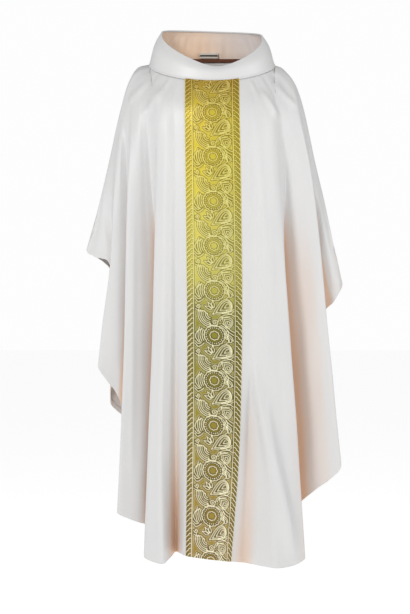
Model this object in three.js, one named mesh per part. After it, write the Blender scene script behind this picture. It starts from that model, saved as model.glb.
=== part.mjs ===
// A gothic chasuble with a roll collar and a brocade orphrey, as it hangs on a wearer with the arms down.
// Millimetres, +Z up, the front facing -Y and the wearer's left hand towards +X.
// The origin is the middle of the neck, level with the tops of the shoulders, which carry the whole garment.
import * as THREE from "three";

// ---- Driving dimensions ----
const bodyLength = 1285; // neck point to the lowest hem
const armReach = 338; // middle to the longer arm tip, as it hangs
const frontReach = 190; // middle to the front hem

const clothThickness = 1.0; // shell fabric, front and back panels
const collarThickness = 1.0; // each of the collar's two fabric layers
const interfacingThickness = 0.8;
const brocadeThickness = 1.0;
const backingThickness = 0.6;
const tapeThickness = 0.8;
const labelThickness = 0.6;
const plyGap = 0.4; // air between two plies that are sewn together
const seamGap = 1.6; // between the two edges of a butted seam

const neckHalfWidth = 162; // neckline seam, to the side
const neckHalfDepth = 112; // neckline seam, to the front and back
const neckFrontZ = -62;
const neckSideZ = -7;
const neckBackZ = 20;

const rimHalfWidth = 132; // collar's top edge
const rimHalfDepth = 100;
const rimFrontZ = -24;
const rimSideZ = 70;
const rimBackZ = 98;
const rimPoint = 0.2; // 0 gives the front of the rim a sharp point, 1 a round bowl
const rimFlatness = 0.6; // below 1, the rim is flat along most of the back
const rimLean = 9; // how much higher the rim stands on the wearer's right than on the left
const rimShift = 9; // how far the lowest point of the rim lies to the wearer's left

const orphreyWidth = 138;
const shoulderRoll = 26; // how far the cloth rolls over the shoulder seam before it falls
const rollDrop = 12; // how far it has dropped there
const tapeLeg = 4.5; // the shoulder tape's width on each side of the seam
const tapeFromNeck = 34;
const tapeFromTip = 16;
const bindingAbove = 4; // the neck binding's reach above the neckline seam
const bindingBelow = 6; // and below it
const labelWidth = 52;
const labelHeight = 15;
const labelAbove = 1.5; // from the binding's upper edge to the label's lower edge
const labelTurn = 0.05; // radians round the neck, from the middle of the back to the middle of the label

// ---- Mesh density ----
const columnsPerRail = 2;
const panelRows = 15;
const rowSpread = 1.3; // above 1, the rows are closer together near the shoulders
const collarSides = 48;
const collarRows = 3;
const tapeSteps = 16;
const labelSteps = 3;

// ---- Fitting the drawn folds to the sizes ----
// The folds are drawn once, for a garment of these sizes, and each point is carried over to the sizes above.
const drawn = { orphreyHalf: 69, neckHalf: 162, armReach: 338, frontReach: 190, bodyLength: 1285 };

// Across, the cloth stretches in three steps: over the orphrey, out to the neck, and out to the arm tip.
function across(x) {
  const from = [0, drawn.orphreyHalf, drawn.neckHalf, drawn.armReach];
  const to = [0, orphreyWidth / 2, neckHalfWidth, armReach];
  const size = Math.abs(x);
  const step = size < from[1] ? 0 : size < from[2] ? 1 : 2;
  const share = (size - from[step]) / (from[step + 1] - from[step]);
  return Math.sign(x) * (to[step] + (to[step + 1] - to[step]) * share);
}

function fitted([x, y, z]) {
  const outward = (y * frontReach) / drawn.frontReach;
  return new THREE.Vector3(across(x), outward, (z * bodyLength) / drawn.bodyLength);
}

const group = new THREE.Group();
const fabrics = {
  shell: new THREE.MeshStandardMaterial({ color: 0xf2ece4, roughness: 0.62, metalness: 0 }),
  facing: new THREE.MeshStandardMaterial({ color: 0xeddccb, roughness: 0.7, metalness: 0 }),
  brocade: new THREE.MeshStandardMaterial({ color: 0xc2a544, roughness: 0.42, metalness: 0.35 }),
  interlining: new THREE.MeshStandardMaterial({ color: 0xe6e2da, roughness: 0.9, metalness: 0 }),
  tape: new THREE.MeshStandardMaterial({ color: 0xeae2d8, roughness: 0.8, metalness: 0 }),
  label: new THREE.MeshStandardMaterial({ color: 0xf4f1ea, roughness: 0.6, metalness: 0 }),
};

function addPiece(name, fabric, geometry) {
  const mesh = new THREE.Mesh(geometry, fabric);
  mesh.name = name;
  group.add(mesh);
}

// ---- A ply of cloth from a grid of points ----

// The outward normals of a grid. Seen from outside, its first column is on the left and its first row on top.
function gridNormals(grid, wrap) {
  const columns = grid.length;
  const rows = grid[0].length;
  const column = (i) => grid[wrap ? (i + columns) % columns : Math.min(Math.max(i, 0), columns - 1)];
  return grid.map((points, i) =>
    points.map((_, j) => {
      const across = column(i + 1)[j].clone().sub(column(i - 1)[j]);
      const down = points[Math.min(j + 1, rows - 1)].clone().sub(points[Math.max(j - 1, 0)]);
      return down.cross(across).normalize();
    }),
  );
}

// A closed ply between two offsets from the grid; wrap joins the last column to the first.
function ply(grid, normals, from, to, wrap = false) {
  const columns = grid.length;
  const rows = grid[0].length;
  const positions = [];
  for (const offset of [to, from]) {
    grid.forEach((points, i) =>
      points.forEach((p, j) => positions.push(...p.clone().addScaledVector(normals[i][j], offset).toArray())),
    );
  }
  const at = (side, i, j) => side * columns * rows + (i % columns) * rows + j;
  const index = [];
  const quad = (a, b, c, d) => index.push(a, b, c, a, c, d);
  const spans = wrap ? columns : columns - 1;
  for (let i = 0; i < spans; i++) {
    for (let j = 0; j < rows - 1; j++) {
      quad(at(0, i, j), at(0, i, j + 1), at(0, i + 1, j + 1), at(0, i + 1, j));
      quad(at(1, i, j), at(1, i + 1, j), at(1, i + 1, j + 1), at(1, i, j + 1));
    }
    quad(at(0, i, 0), at(0, i + 1, 0), at(1, i + 1, 0), at(1, i, 0));
    const last = rows - 1;
    quad(at(0, i, last), at(1, i, last), at(1, i + 1, last), at(0, i + 1, last));
  }
  if (!wrap) {
    const end = columns - 1;
    for (let j = 0; j < rows - 1; j++) {
      quad(at(0, 0, j), at(1, 0, j), at(1, 0, j + 1), at(0, 0, j + 1));
      quad(at(0, end, j), at(0, end, j + 1), at(1, end, j + 1), at(1, end, j));
    }
  }
  const geometry = new THREE.BufferGeometry();
  geometry.setAttribute("position", new THREE.Float32BufferAttribute(positions, 3));
  geometry.setIndex(index);
  geometry.computeVertexNormals();
  return geometry;
}

// ---- Neckline, collar and shoulder seams ----

// An angle of 0 is the front of the neck, and a quarter turn is the wearer's left side.
function neckline(angle) {
  const swing = (neckBackZ - neckFrontZ) / 2;
  const level = (neckFrontZ + neckBackZ) / 4 + neckSideZ / 2;
  const dip = (neckFrontZ + neckBackZ) / 4 - neckSideZ / 2;
  return new THREE.Vector3(
    neckHalfWidth * Math.sin(angle),
    -neckHalfDepth * Math.cos(angle),
    level - swing * Math.cos(angle) + dip * Math.cos(2 * angle),
  );
}

// The rim falls in a soft U to the front, and is nearly level round the back.
function rim(angle) {
  const turn = Math.acos(Math.cos(angle)) / (Math.PI / 2); // 0 in front, 1 at the sides
  const front = Math.max(Math.cos(angle), 0);
  const back = Math.max(-Math.cos(angle), 0);
  const share = (Math.hypot(turn, rimPoint) - rimPoint) / (Math.hypot(1, rimPoint) - rimPoint);
  const frontLevel = rimFrontZ + (rimSideZ - rimFrontZ) * share;
  const backLevel = rimSideZ + (rimBackZ - rimSideZ) * back ** rimFlatness;
  const level = front > 0 ? frontLevel : backLevel;
  return new THREE.Vector3(
    rimHalfWidth * Math.sin(angle) + rimShift * front ** 2,
    -rimHalfDepth * Math.cos(angle),
    level - (rimLean / 2) * Math.sin(angle),
  );
}

// A shoulder seam runs from the neck, over the shoulder and down the outside of the arm.
// The wearer's right shoulder (-1) is a little higher than the left (1), and that arm is bent a little more.
const seamPoints = {
  [-1]: [
    [-190, 3, -11], [-213, 5, -44], [-236, 6, -120],
    [-261, 5, -231], [-289, 0, -356], [-325, -8, -487],
  ],
  1: [
    [181, 3, -13], [209, 5, -46], [235, 6, -120],
    [260, 5, -231], [289, 0, -356], [312, -6, -465], [338, -12, -575],
  ],
};

function shoulderSeam(side) {
  const start = new THREE.Vector3(side * neckHalfWidth, 0, neckSideZ);
  return new THREE.CatmullRomCurve3([start, ...seamPoints[side].map(fitted)], false, "centripetal");
}

// ---- Rails: lines that run down the cloth from its top edge to the hem ----
// A fold has a crest, a turn behind it and a valley, each with its rail. A rail's last point lies on the hem.
// It starts at a share of a shoulder seam's length from the neck, at an angle round the neckline, or on an
// edge of the orphrey.
const onSeam = (side, share, ...points) => ({ side, share, points });
const atNeck = (degrees, ...points) => ({ angle: THREE.MathUtils.degToRad(degrees), points });
const onEdge = (edge, ...points) => ({ edge, points });

const frontRails = [
  onSeam(-1, 1, [-321, -11, -495]),
  onSeam(-1, 0.809, [-299, -26, -430], [-298, -27, -506]),
  onSeam(-1, 0.633, [-280, -36, -360], [-278, -42, -430], [-271, -34, -515]),
  onSeam(-1, 0.468, [-264, -40, -290], [-260, -48, -400], [-248, -36, -510], [-246, -20, -610]),
  onSeam(-1, 0.341, [-250, -46, -230], [-255, -58, -340], [-257, -44, -540], [-266, -24, -705]),
  onSeam(-1, 0.263, [-240, -54, -200], [-249, -74, -340],
    [-260, -66, -540], [-277, -54, -668], [-290, -44, -788]),
  onSeam(-1, 0.189, [-230, -56, -170], [-236, -76, -300],
    [-240, -64, -600], [-244, -50, -780], [-246, -38, -858]),
  onSeam(-1, 0.14, [-221, -58, -150], [-217, -68, -300],
    [-194, -36, -694], [-194, -26, -880], [-204, -22, -1010]),
  onSeam(-1, 0.106, [-212, -64, -140], [-213, -80, -300],
    [-214, -70, -694], [-215, -64, -965], [-224, -58, -1135]),
  onSeam(-1, 0.075, [-202, -78, -140], [-210, -98, -300],
    [-218, -100, -694], [-226, -96, -965], [-236, -88, -1158]),
  onSeam(-1, 0.036, [-184, -92, -130], [-184, -102, -300],
    [-182, -98, -694], [-180, -94, -1006], [-187, -86, -1182]),
  onSeam(-1, 0, [-165, -100, -130], [-156, -92, -300],
    [-126, -70, -694], [-122, -60, -1006], [-132, -56, -1206]),
  atNeck(-72, [-150, -112, -130], [-140, -118, -300],
    [-137, -114, -694], [-147, -112, -1006], [-154, -106, -1250]),
  atNeck(-60, [-136, -122, -130], [-138, -136, -300],
    [-147, -143, -694], [-158, -146, -1006], [-167, -140, -1263]),
  atNeck(-48, [-116, -130, -130], [-118, -146, -300],
    [-122, -158, -694], [-130, -164, -1006], [-126, -166, -1274]),
  atNeck(-35, [-94, -134, -130], [-94, -145, -300],
    [-92, -140, -694], [-92, -128, -1006], [-93, -106, -1256]),
  onEdge(-1, [-69, -138, -130], [-67, -152, -300],
    [-63, -160, -694], [-63, -168, -1006], [-65, -176, -1254]),
  atNeck(0, [0, -143, -130], [2, -158, -300], [7, -170, -694], [5, -182, -1006], [-6, -190, -1261]),
  onEdge(1, [69, -138, -130], [72, -152, -300], [75, -160, -694], [67, -164, -1006], [47, -152, -1272]),
  atNeck(35, [96, -132, -130], [99, -144, -300], [98, -148, -694], [90, -146, -1006], [82, -132, -1278]),
  atNeck(46, [117, -128, -130], [124, -142, -300],
    [134, -154, -694], [142, -162, -1006], [158, -172, -1285]),
  atNeck(56, [137, -120, -130], [150, -134, -300],
    [166, -146, -694], [182, -148, -1006], [202, -146, -1282]),
  atNeck(66, [151, -110, -130], [168, -120, -300],
    [188, -132, -650], [210, -130, -950], [231, -122, -1268]),
  atNeck(78, [163, -98, -130], [180, -100, -300], [181, -102, -650], [198, -98, -950], [218, -90, -1248]),
  onSeam(1, 0, [176, -90, -130], [189, -80, -300], [164, -60, -650], [170, -46, -950], [188, -40, -1186]),
  onSeam(1, 0.036, [194, -80, -130], [214, -80, -300],
    [236, -74, -616], [254, -66, -850], [266, -54, -1103]),
  onSeam(1, 0.085, [220, -64, -130], [252, -78, -300],
    [286, -74, -616], [306, -66, -830], [328, -52, -1046]),
  onSeam(1, 0.145, [233, -50, -170], [257, -60, -300],
    [279, -50, -600], [290, -38, -760], [304, -26, -920]),
  onSeam(1, 0.251, [248, -42, -230], [262, -50, -330], [272, -40, -520], [274, -22, -740]),
  onSeam(1, 0.436, [270, -38, -310], [284, -50, -430], [286, -40, -540], [282, -26, -655]),
  onSeam(1, 0.631, [297, -36, -420], [306, -42, -500], [313, -32, -622]),
  onSeam(1, 0.814, [321, -30, -510], [330, -28, -593]),
  onSeam(1, 1, [336, -16, -581]),
];

const backRails = [
  onSeam(1, 1, [336, -4, -582]),
  onSeam(1, 0.814, [319, 14, -510], [326, 14, -596]),
  onSeam(1, 0.631, [297, 30, -420], [302, 34, -500], [304, 26, -630]),
  onSeam(1, 0.436, [270, 44, -310], [280, 54, -430], [280, 48, -560], [272, 30, -690]),
  onSeam(1, 0.285, [250, 54, -230], [262, 68, -340], [258, 54, -560], [252, 36, -770]),
  onSeam(1, 0.217, [238, 64, -200], [256, 86, -340], [268, 86, -600], [270, 80, -860]),
  onSeam(1, 0.152, [226, 70, -170], [236, 98, -320], [242, 100, -620], [244, 94, -930]),
  onSeam(1, 0.077, [206, 76, -140], [205, 92, -300], [192, 74, -650], [188, 66, -1010]),
  onSeam(1, 0.047, [196, 90, -140], [204, 116, -300],
    [212, 124, -650], [216, 120, -950], [214, 112, -1130]),
  onSeam(1, 0.007, [176, 104, -130], [176, 132, -300],
    [178, 140, -650], [176, 140, -950], [172, 134, -1195]),
  atNeck(104, [154, 110, -130], [148, 130, -300], [132, 104, -650], [126, 94, -950], [124, 88, -1236]),
  atNeck(128, [112, 124, -110], [110, 150, -300], [106, 164, -650], [106, 172, -950], [104, 178, -1262]),
  onEdge(1, [69, 132, -110], [69, 152, -300], [67, 160, -650], [67, 166, -950], [67, 170, -1268]),
  atNeck(180, [0, 134, -110], [0, 150, -300], [0, 160, -650], [0, 170, -950], [0, 180, -1270]),
  onEdge(-1, [-69, 132, -110], [-69, 152, -300], [-67, 162, -650], [-67, 168, -950], [-67, 174, -1266]),
  atNeck(-126, [-110, 124, -110], [-106, 148, -300],
    [-100, 156, -650], [-100, 158, -950], [-102, 160, -1258]),
  atNeck(-104, [-150, 110, -130], [-142, 130, -300],
    [-126, 100, -650], [-120, 88, -950], [-122, 82, -1232]),
  onSeam(-1, 0.036, [-176, 104, -130], [-174, 134, -300],
    [-180, 142, -650], [-182, 140, -950], [-178, 130, -1188]),
  onSeam(-1, 0.075, [-196, 90, -140], [-202, 114, -300],
    [-212, 116, -650], [-216, 108, -950], [-214, 98, -1120]),
  onSeam(-1, 0.106, [-207, 74, -140], [-206, 90, -300], [-194, 68, -650], [-192, 60, -1010]),
  onSeam(-1, 0.189, [-226, 68, -170], [-236, 94, -320], [-238, 92, -620], [-236, 90, -925]),
  onSeam(-1, 0.263, [-240, 62, -200], [-252, 82, -340], [-264, 80, -560], [-266, 76, -888]),
  onSeam(-1, 0.341, [-250, 52, -230], [-260, 64, -340], [-256, 54, -540], [-248, 36, -730]),
  onSeam(-1, 0.468, [-264, 44, -290], [-264, 52, -400], [-256, 42, -520], [-244, 26, -640]),
  onSeam(-1, 0.633, [-280, 34, -360], [-279, 42, -430], [-268, 34, -534]),
  onSeam(-1, 0.809, [-297, 22, -430], [-296, 22, -508]),
  onSeam(-1, 1, [-320, -4, -496]),
];

// The angle round the neckline at which a rail starts; a rail on a shoulder seam counts as the neck's side.
function neckAngle(rail, facing) {
  if (rail.share !== undefined) return (rail.side * Math.PI) / 2;
  if (!rail.edge) return rail.angle;
  const angle = Math.asin((rail.edge * orphreyWidth) / 2 / neckHalfWidth);
  return facing < 0 ? angle : rail.edge * Math.PI - angle;
}

// The top edge of the front (facing -1) or back (1) panel, a share of the way from one rail to the next.
function topEdge(rail, next, share, facing) {
  const mix = (from, to) => from + (to - from) * share;
  if (rail.share !== undefined && next.share !== undefined) {
    const top = shoulderSeam(rail.side).getPointAt(mix(rail.share, next.share));
    top.y += (facing * seamGap) / 2;
    return top;
  }
  const turn = neckAngle(next, facing) - neckAngle(rail, facing);
  const shortest = turn - Math.round(turn / (2 * Math.PI)) * 2 * Math.PI;
  const top = neckline(neckAngle(rail, facing) + shortest * share);
  if (Math.abs(top.y) < seamGap / 2) top.y = (facing * seamGap) / 2;
  return top;
}

function railCurve(rail, facing) {
  const top = topEdge(rail, rail, 0, facing);
  const points = rail.points.map(fitted);
  if (rail.share !== undefined && points.length > 1) {
    const drift = (points[0].x - top.x) / 4; // a quarter of the way across to the first drawn point
    points.unshift(new THREE.Vector3(top.x + drift, top.y + facing * shoulderRoll, top.z - rollDrop));
  }
  return new THREE.CatmullRomCurve3([top, ...points], false, "centripetal");
}

// The panel's grid has a column on each rail and one between; each row runs across all the rails.
function panelGrid(rails, facing) {
  const lines = rails.map((rail) => {
    const curve = railCurve(rail, facing);
    return Array.from({ length: panelRows + 1 }, (_, j) => curve.getPointAt((j / panelRows) ** rowSpread));
  });
  const columns = (rails.length - 1) * columnsPerRail;
  const grid = Array.from({ length: columns + 1 }, () => []);
  for (let j = 0; j <= panelRows; j++) {
    const row = new THREE.CatmullRomCurve3(lines.map((line) => line[j]), false, "centripetal");
    grid.forEach((points, i) => points.push(row.getPoint(i / columns)));
  }
  grid.forEach((points, i) => {
    const before = Math.min(Math.floor(i / columnsPerRail), rails.length - 2);
    points[0] = topEdge(rails[before], rails[before + 1], i / columnsPerRail - before, facing);
  });
  return grid;
}

// A panel with its orphrey, which is sewn over a stiff backing between the two edge rails.
function makeSide(name, rails, facing) {
  const grid = panelGrid(rails, facing);
  const normals = gridNormals(grid);
  // Along a shoulder seam the edge stands square to the other panel's edge.
  grid.forEach(([top], i) => {
    if (Math.abs(top.y) <= seamGap || Math.abs(top.x) > neckHalfWidth) normals[i][0].setY(0).normalize();
  });
  addPiece(`${name}_panel`, fabrics.shell, ply(grid, normals, 0, clothThickness));

  const first = rails.findIndex((rail) => rail.edge) * columnsPerRail;
  const last = rails.findLastIndex((rail) => rail.edge) * columnsPerRail;
  const strip = grid.slice(first, last + 1);
  const stripNormals = normals.slice(first, last + 1);
  const backing = clothThickness + plyGap;
  const brocade = backing + backingThickness + plyGap;
  const backingPly = ply(strip, stripNormals, backing, backing + backingThickness);
  addPiece(`${name}_orphrey_backing`, fabrics.interlining, backingPly);
  addPiece(`${name}_orphrey`, fabrics.brocade, ply(strip, stripNormals, brocade, brocade + brocadeThickness));
}
makeSide("front", frontRails, -1);
makeSide("back", backRails, 1);

// ---- Shoulder tapes ----
// A woven tape under each shoulder seam carries the garment's weight. The turned-in edges lie above it.
const tapeUnder = 2 * clothThickness + 4 * plyGap;

function shoulderTape(side) {
  const seam = shoulderSeam(side);
  const whole = seam.getLength();
  const from = tapeFromNeck / whole;
  const to = 1 - tapeFromTip / whole;
  const grid = Array.from({ length: tapeSteps + 1 }, (_, i) => {
    const middle = seam.getPointAt(from + ((to - from) * i) / tapeSteps);
    return [-1, 0, 1].map((leg) => middle.clone().add(new THREE.Vector3(0, -side * leg * tapeLeg, 0)));
  });
  return ply(grid, gridNormals(grid), -tapeUnder - tapeThickness, -tapeUnder);
}
addPiece("shoulder_tape_left", fabrics.tape, shoulderTape(1));
addPiece("shoulder_tape_right", fabrics.tape, shoulderTape(-1));

// ---- Collar ----
// It stands on the neckline, over the panels and the orphreys, and leans in to its rim.
const collarSeat = clothThickness + backingThickness + brocadeThickness + 3 * plyGap;

function collarBase(angle) {
  return neckline(angle).add(new THREE.Vector3(0, 0, collarSeat));
}

// The way up the collar from its base.
function collarRise(angle) {
  return rim(angle).sub(collarBase(angle)).normalize();
}

const collarAngles = Array.from({ length: collarSides }, (_, i) => (i / collarSides) * 2 * Math.PI);
const collarGrid = collarAngles.map((angle) =>
  Array.from({ length: collarRows + 1 }, (_, j) => rim(angle).lerp(collarBase(angle), j / collarRows)),
);
const collarNormals = gridNormals(collarGrid, true);
const interfacingOuter = -plyGap;
const interfacingInner = interfacingOuter - interfacingThickness;
const facingOuter = interfacingInner - plyGap;
const facingInner = facingOuter - collarThickness;
addPiece("collar_outer", fabrics.shell, ply(collarGrid, collarNormals, 0, collarThickness, true));
addPiece(
  "collar_interfacing",
  fabrics.interlining,
  ply(collarGrid, collarNormals, interfacingInner, interfacingOuter, true),
);
addPiece("collar_facing", fabrics.facing, ply(collarGrid, collarNormals, facingInner, facingOuter, true));

// ---- Neck binding ----
// It covers the neckline seam on the inside.
const bindingGrid = collarAngles.map((angle) => {
  const seam = collarBase(angle);
  const above = seam.clone().addScaledVector(collarRise(angle), bindingAbove);
  return [above, seam, seam.clone().setZ(seam.z - bindingBelow)];
});
const bindingOuter = facingInner - plyGap;
addPiece(
  "neck_binding",
  fabrics.tape,
  ply(bindingGrid, gridNormals(bindingGrid, true), bindingOuter - tapeThickness, bindingOuter, true),
);

// ---- Label ----
// A blank woven label is sewn to the facing at the back of the neck, just above the binding.
const labelGrid = Array.from({ length: labelSteps + 1 }, (_, i) => {
  const sideways = (i / labelSteps - 0.5) * labelWidth;
  const angle = Math.PI + labelTurn + Math.asin(sideways / neckHalfWidth);
  const lower = collarBase(angle).addScaledVector(collarRise(angle), bindingAbove + labelAbove);
  return [lower.clone().addScaledVector(collarRise(angle), labelHeight), lower];
});
const labelOuter = facingInner - 2 * plyGap;
addPiece(
  "neck_label",
  fabrics.label,
  ply(labelGrid, gridNormals(labelGrid), labelOuter - labelThickness, labelOuter),
);

export default group;
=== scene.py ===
import math

import bmesh
import bpy
import numpy as np
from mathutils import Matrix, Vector
from mathutils.kdtree import KDTree


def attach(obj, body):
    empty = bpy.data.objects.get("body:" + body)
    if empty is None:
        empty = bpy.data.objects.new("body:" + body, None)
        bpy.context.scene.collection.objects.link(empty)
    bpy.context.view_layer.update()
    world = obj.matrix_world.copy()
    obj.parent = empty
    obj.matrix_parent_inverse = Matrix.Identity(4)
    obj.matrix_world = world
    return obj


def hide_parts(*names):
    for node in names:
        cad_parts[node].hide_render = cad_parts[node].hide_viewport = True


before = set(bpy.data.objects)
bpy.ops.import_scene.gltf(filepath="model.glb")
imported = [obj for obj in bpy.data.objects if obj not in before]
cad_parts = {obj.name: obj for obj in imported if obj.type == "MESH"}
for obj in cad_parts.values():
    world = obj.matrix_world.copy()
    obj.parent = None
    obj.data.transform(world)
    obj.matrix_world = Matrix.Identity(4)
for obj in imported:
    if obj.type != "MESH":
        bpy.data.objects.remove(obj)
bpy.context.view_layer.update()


# ---- Front and back panels ----
# The chasuble is two bell-shaped panels of ivory polyester, cut in one piece each and joined along the
# shoulders. The cloth is a plain weave with a slightly satin face. It hangs from the shoulders and the arms
# in long soft flutes, and its lower edge is turned up and stitched.
mm = 0.001
cloth_thickness = 0.8 * mm
frame_ply = 1.0 * mm  # thickness of the frame's cloth plies
column_step = 4.5 * mm
row_step = 8.0 * mm
row_spread = 1.3  # the frame's rows lie closer together near the shoulders
hem_width = 15 * mm
hem_rows = (0.06, 0.12, 0.35, 0.7, 0.93, 1.0)  # shares of the hem's width
hem_plies = 3
neck_half_width = 162 * mm
seam_gap = 1.6 * mm  # between the frame's panels at the shoulders
seam_overlap = 0.15 * mm


def chains(border):
    """Edges joined end to end, as lists of corners."""
    after = {}
    for edge in border:
        for one, other in (edge.verts, reversed(edge.verts)):
            after.setdefault(one, []).append(other)
    found, seen = [], set()
    for start in sorted(after, key=lambda v: v.index):
        if start in seen:
            continue
        chain = [start]
        seen.add(start)
        while True:
            ahead = [v for v in after[chain[-1]] if v not in seen]
            if not ahead:
                break
            chain.append(ahead[0])
            seen.add(ahead[0])
        found.append(chain)
    return found


def height(chain):
    """The mean height of a chain of corners."""
    return sum(v.co.z for v in chain) / len(chain)


def cad_skin(name, thickness=frame_ply):
    """The outer face of a ply of the frame, as rows of points from its top edge to its lower edge."""
    def joins_plies(edge):
        return abs(edge.calc_length() - thickness) < 0.004 * mm

    mesh = bmesh.new()
    mesh.from_mesh(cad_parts[name].data)
    bmesh.ops.remove_doubles(mesh, verts=mesh.verts, dist=0.01 * mm)
    rim = [f for f in mesh.faces if any(joins_plies(e) for e in f.edges)]
    bmesh.ops.delete(mesh, geom=rim, context="FACES")
    mesh.verts.index_update()
    mesh.normal_update()
    islands, left = [], set(mesh.faces)
    while left:
        island, edge_of_island = set(), [min(left, key=lambda f: f.verts[0].index)]
        while edge_of_island:
            face = edge_of_island.pop()
            if face in left:
                left.discard(face)
                island.add(face)
                edge_of_island += [f for e in face.edges for f in e.link_faces if f in left]
        islands.append(island)

    def outward(island):
        return sum(f.calc_area() * f.normal.xy.dot(f.calc_center_median().xy) for f in island)

    skin = max(islands, key=outward)
    border = [e for e in {e for f in skin for e in f.edges} if len(e.link_faces) == 1]
    loops = chains(border)
    ring = len(loops) == 2
    if ring:
        row = max(loops, key=height)
        front = min(range(len(row)), key=lambda i: row[i].co.y + abs(row[i].co.x))
        row = row[front:] + row[:front]
        if row[1].co.x < row[-1].co.x:
            row = row[:1] + row[:0:-1]
    else:
        loop = loops[0]
        first = next(i for i, v in enumerate(loop) if len(v.link_faces) <= 2)
        loop = loop[first:] + loop[:first + 1]
        stops = [i for i, v in enumerate(loop) if len(v.link_faces) <= 2]
        row = max((loop[a:b + 1] for a, b in zip(stops, stops[1:])), key=height)
    rows, used = [row], set(row)
    while True:
        below = [{e.other_vert(v) for e in v.link_edges} - used for v in rows[-1]]
        if not all(below):
            break
        if ring:
            following = [next(iter(a & b)) for a, b in zip(below, below[1:] + below[:1])]
            shift = following[-1:] + following[:-1]
            nearer = (rows[-1][0].co - shift[0].co).length < (rows[-1][0].co - following[0].co).length
            following = shift if nearer else following
        elif len(below[0]) == 2:
            following = [next(iter(a & b)) for a, b in zip(below, below[1:])]
            following.insert(0, next(iter(below[0] - {following[0]})))
        else:
            following = [next(iter(a & b)) for a, b in zip(below, below[1:])]
            following.append(next(iter(below[-1] - {following[-1]})))
        rows.append(following)
        used.update(following)
    points = np.array([[v.co[:] for v in r] for r in rows])
    mesh.free()
    outer = points[len(points) // 2]
    sideways = outer[-1][0] - outer[0][0]
    if not ring and sideways * -outer[len(outer) // 2][1] < 0:
        points = points[:, ::-1]
    return points


def through(points, at):
    """Centripetal Catmull-Rom curves through points along axis 0, at places counted in points."""
    before = 2 * points[:1] - points[1:2]
    after = 2 * points[-1:] - points[-2:-1]
    padded = np.concatenate([before, points, after])
    start = np.clip(np.floor(at).astype(int), 0, len(points) - 2)
    p = [padded[start + k] for k in range(4)]
    knots = [np.zeros(p[0].shape[:-1])]
    for k in range(3):
        gap = np.sqrt(np.linalg.norm(p[k + 1] - p[k], axis=-1))
        knots.append(knots[-1] + np.maximum(gap, 1e-4))
    share = (at - start).reshape(-1, *[1] * (points.ndim - 2))
    t = (knots[1] + (knots[2] - knots[1]) * share)[..., None]
    k = [knot[..., None] for knot in knots]

    def mix(one, other, low, high):
        return (one * (k[high] - t) + other * (t - k[low])) / (k[high] - k[low])

    a = [mix(p[i], p[i + 1], i, i + 1) for i in range(3)]
    b = [mix(a[0], a[1], 0, 2), mix(a[1], a[2], 1, 3)]
    return mix(b[0], b[1], 1, 2)


def surface(skin, down, across, ring=False):
    """The smooth cloth through the frame's points, at places counted in its rows and columns."""
    lines = through(skin, down)
    columns = np.swapaxes(lines, 0, 1)
    if ring:
        columns = np.concatenate([columns[-2:], columns, columns[:3]])
        across = across + 2
    return np.swapaxes(through(columns, across), 0, 1)


def normals_of(grid, ring=False):
    """Unit normals of a grid of points; they point away from the wearer."""
    if ring:
        sideways = np.roll(grid, -1, axis=1) - np.roll(grid, 1, axis=1)
    else:
        sideways = np.gradient(grid, axis=1)
    out = np.cross(np.gradient(grid, axis=0), sideways)
    return out / np.maximum(np.linalg.norm(out, axis=2, keepdims=True), 1e-12)


def lengths(grid, axis):
    """How far each point of a grid lies along the cloth from its first row or column."""
    steps = np.linalg.norm(np.diff(grid, axis=axis), axis=2)
    start = np.zeros_like(grid[:1, :, 0] if axis == 0 else grid[:, :1, 0])
    return np.concatenate([start, np.cumsum(steps, axis=axis)], axis=axis)


def make_piece(name, points, faces, finish, spread=None, extras=None):
    """A mesh piece that rides on the garment. spread is each point's place on the flat cloth, in metres."""
    mesh = bpy.data.meshes.new(name)
    mesh.vertices.add(len(points))
    mesh.vertices.foreach_set("co", np.asarray(points, np.float32).ravel())
    faces = np.asarray(faces, np.int32)
    sides = faces.shape[1]
    mesh.loops.add(faces.size)
    mesh.loops.foreach_set("vertex_index", faces.ravel())
    mesh.polygons.add(len(faces))
    mesh.polygons.foreach_set("loop_start", np.arange(0, faces.size, sides, dtype=np.int32))
    mesh.update(calc_edges=True)
    mesh.polygons.foreach_set("use_smooth", np.ones(len(faces), bool))
    if spread is not None:
        layer = mesh.uv_layers.new(name="cloth")
        layer.data.foreach_set("uv", np.asarray(spread, np.float32)[faces.ravel()].ravel())
    for key, values in (extras or {}).items():
        attribute = mesh.attributes.new(key, "FLOAT", "POINT")
        attribute.data.foreach_set("value", np.asarray(values, np.float32).ravel())
    mesh.materials.append(finish)
    piece = bpy.data.objects.new(name, mesh)
    bpy.context.scene.collection.objects.link(piece)
    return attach(piece, "root")


def quads(rows, columns, ring=False, start=0, flip=False):
    """Faces of a grid of points that are numbered row by row."""
    at = start + np.arange(rows * columns).reshape(rows, columns)
    if ring:
        at = np.concatenate([at, at[:, :1]], axis=1)
    found = np.stack([at[:-1, :-1], at[1:, :-1], at[1:, 1:], at[:-1, 1:]], axis=-1).reshape(-1, 4)
    return found[:, ::-1] if flip else found


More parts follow.
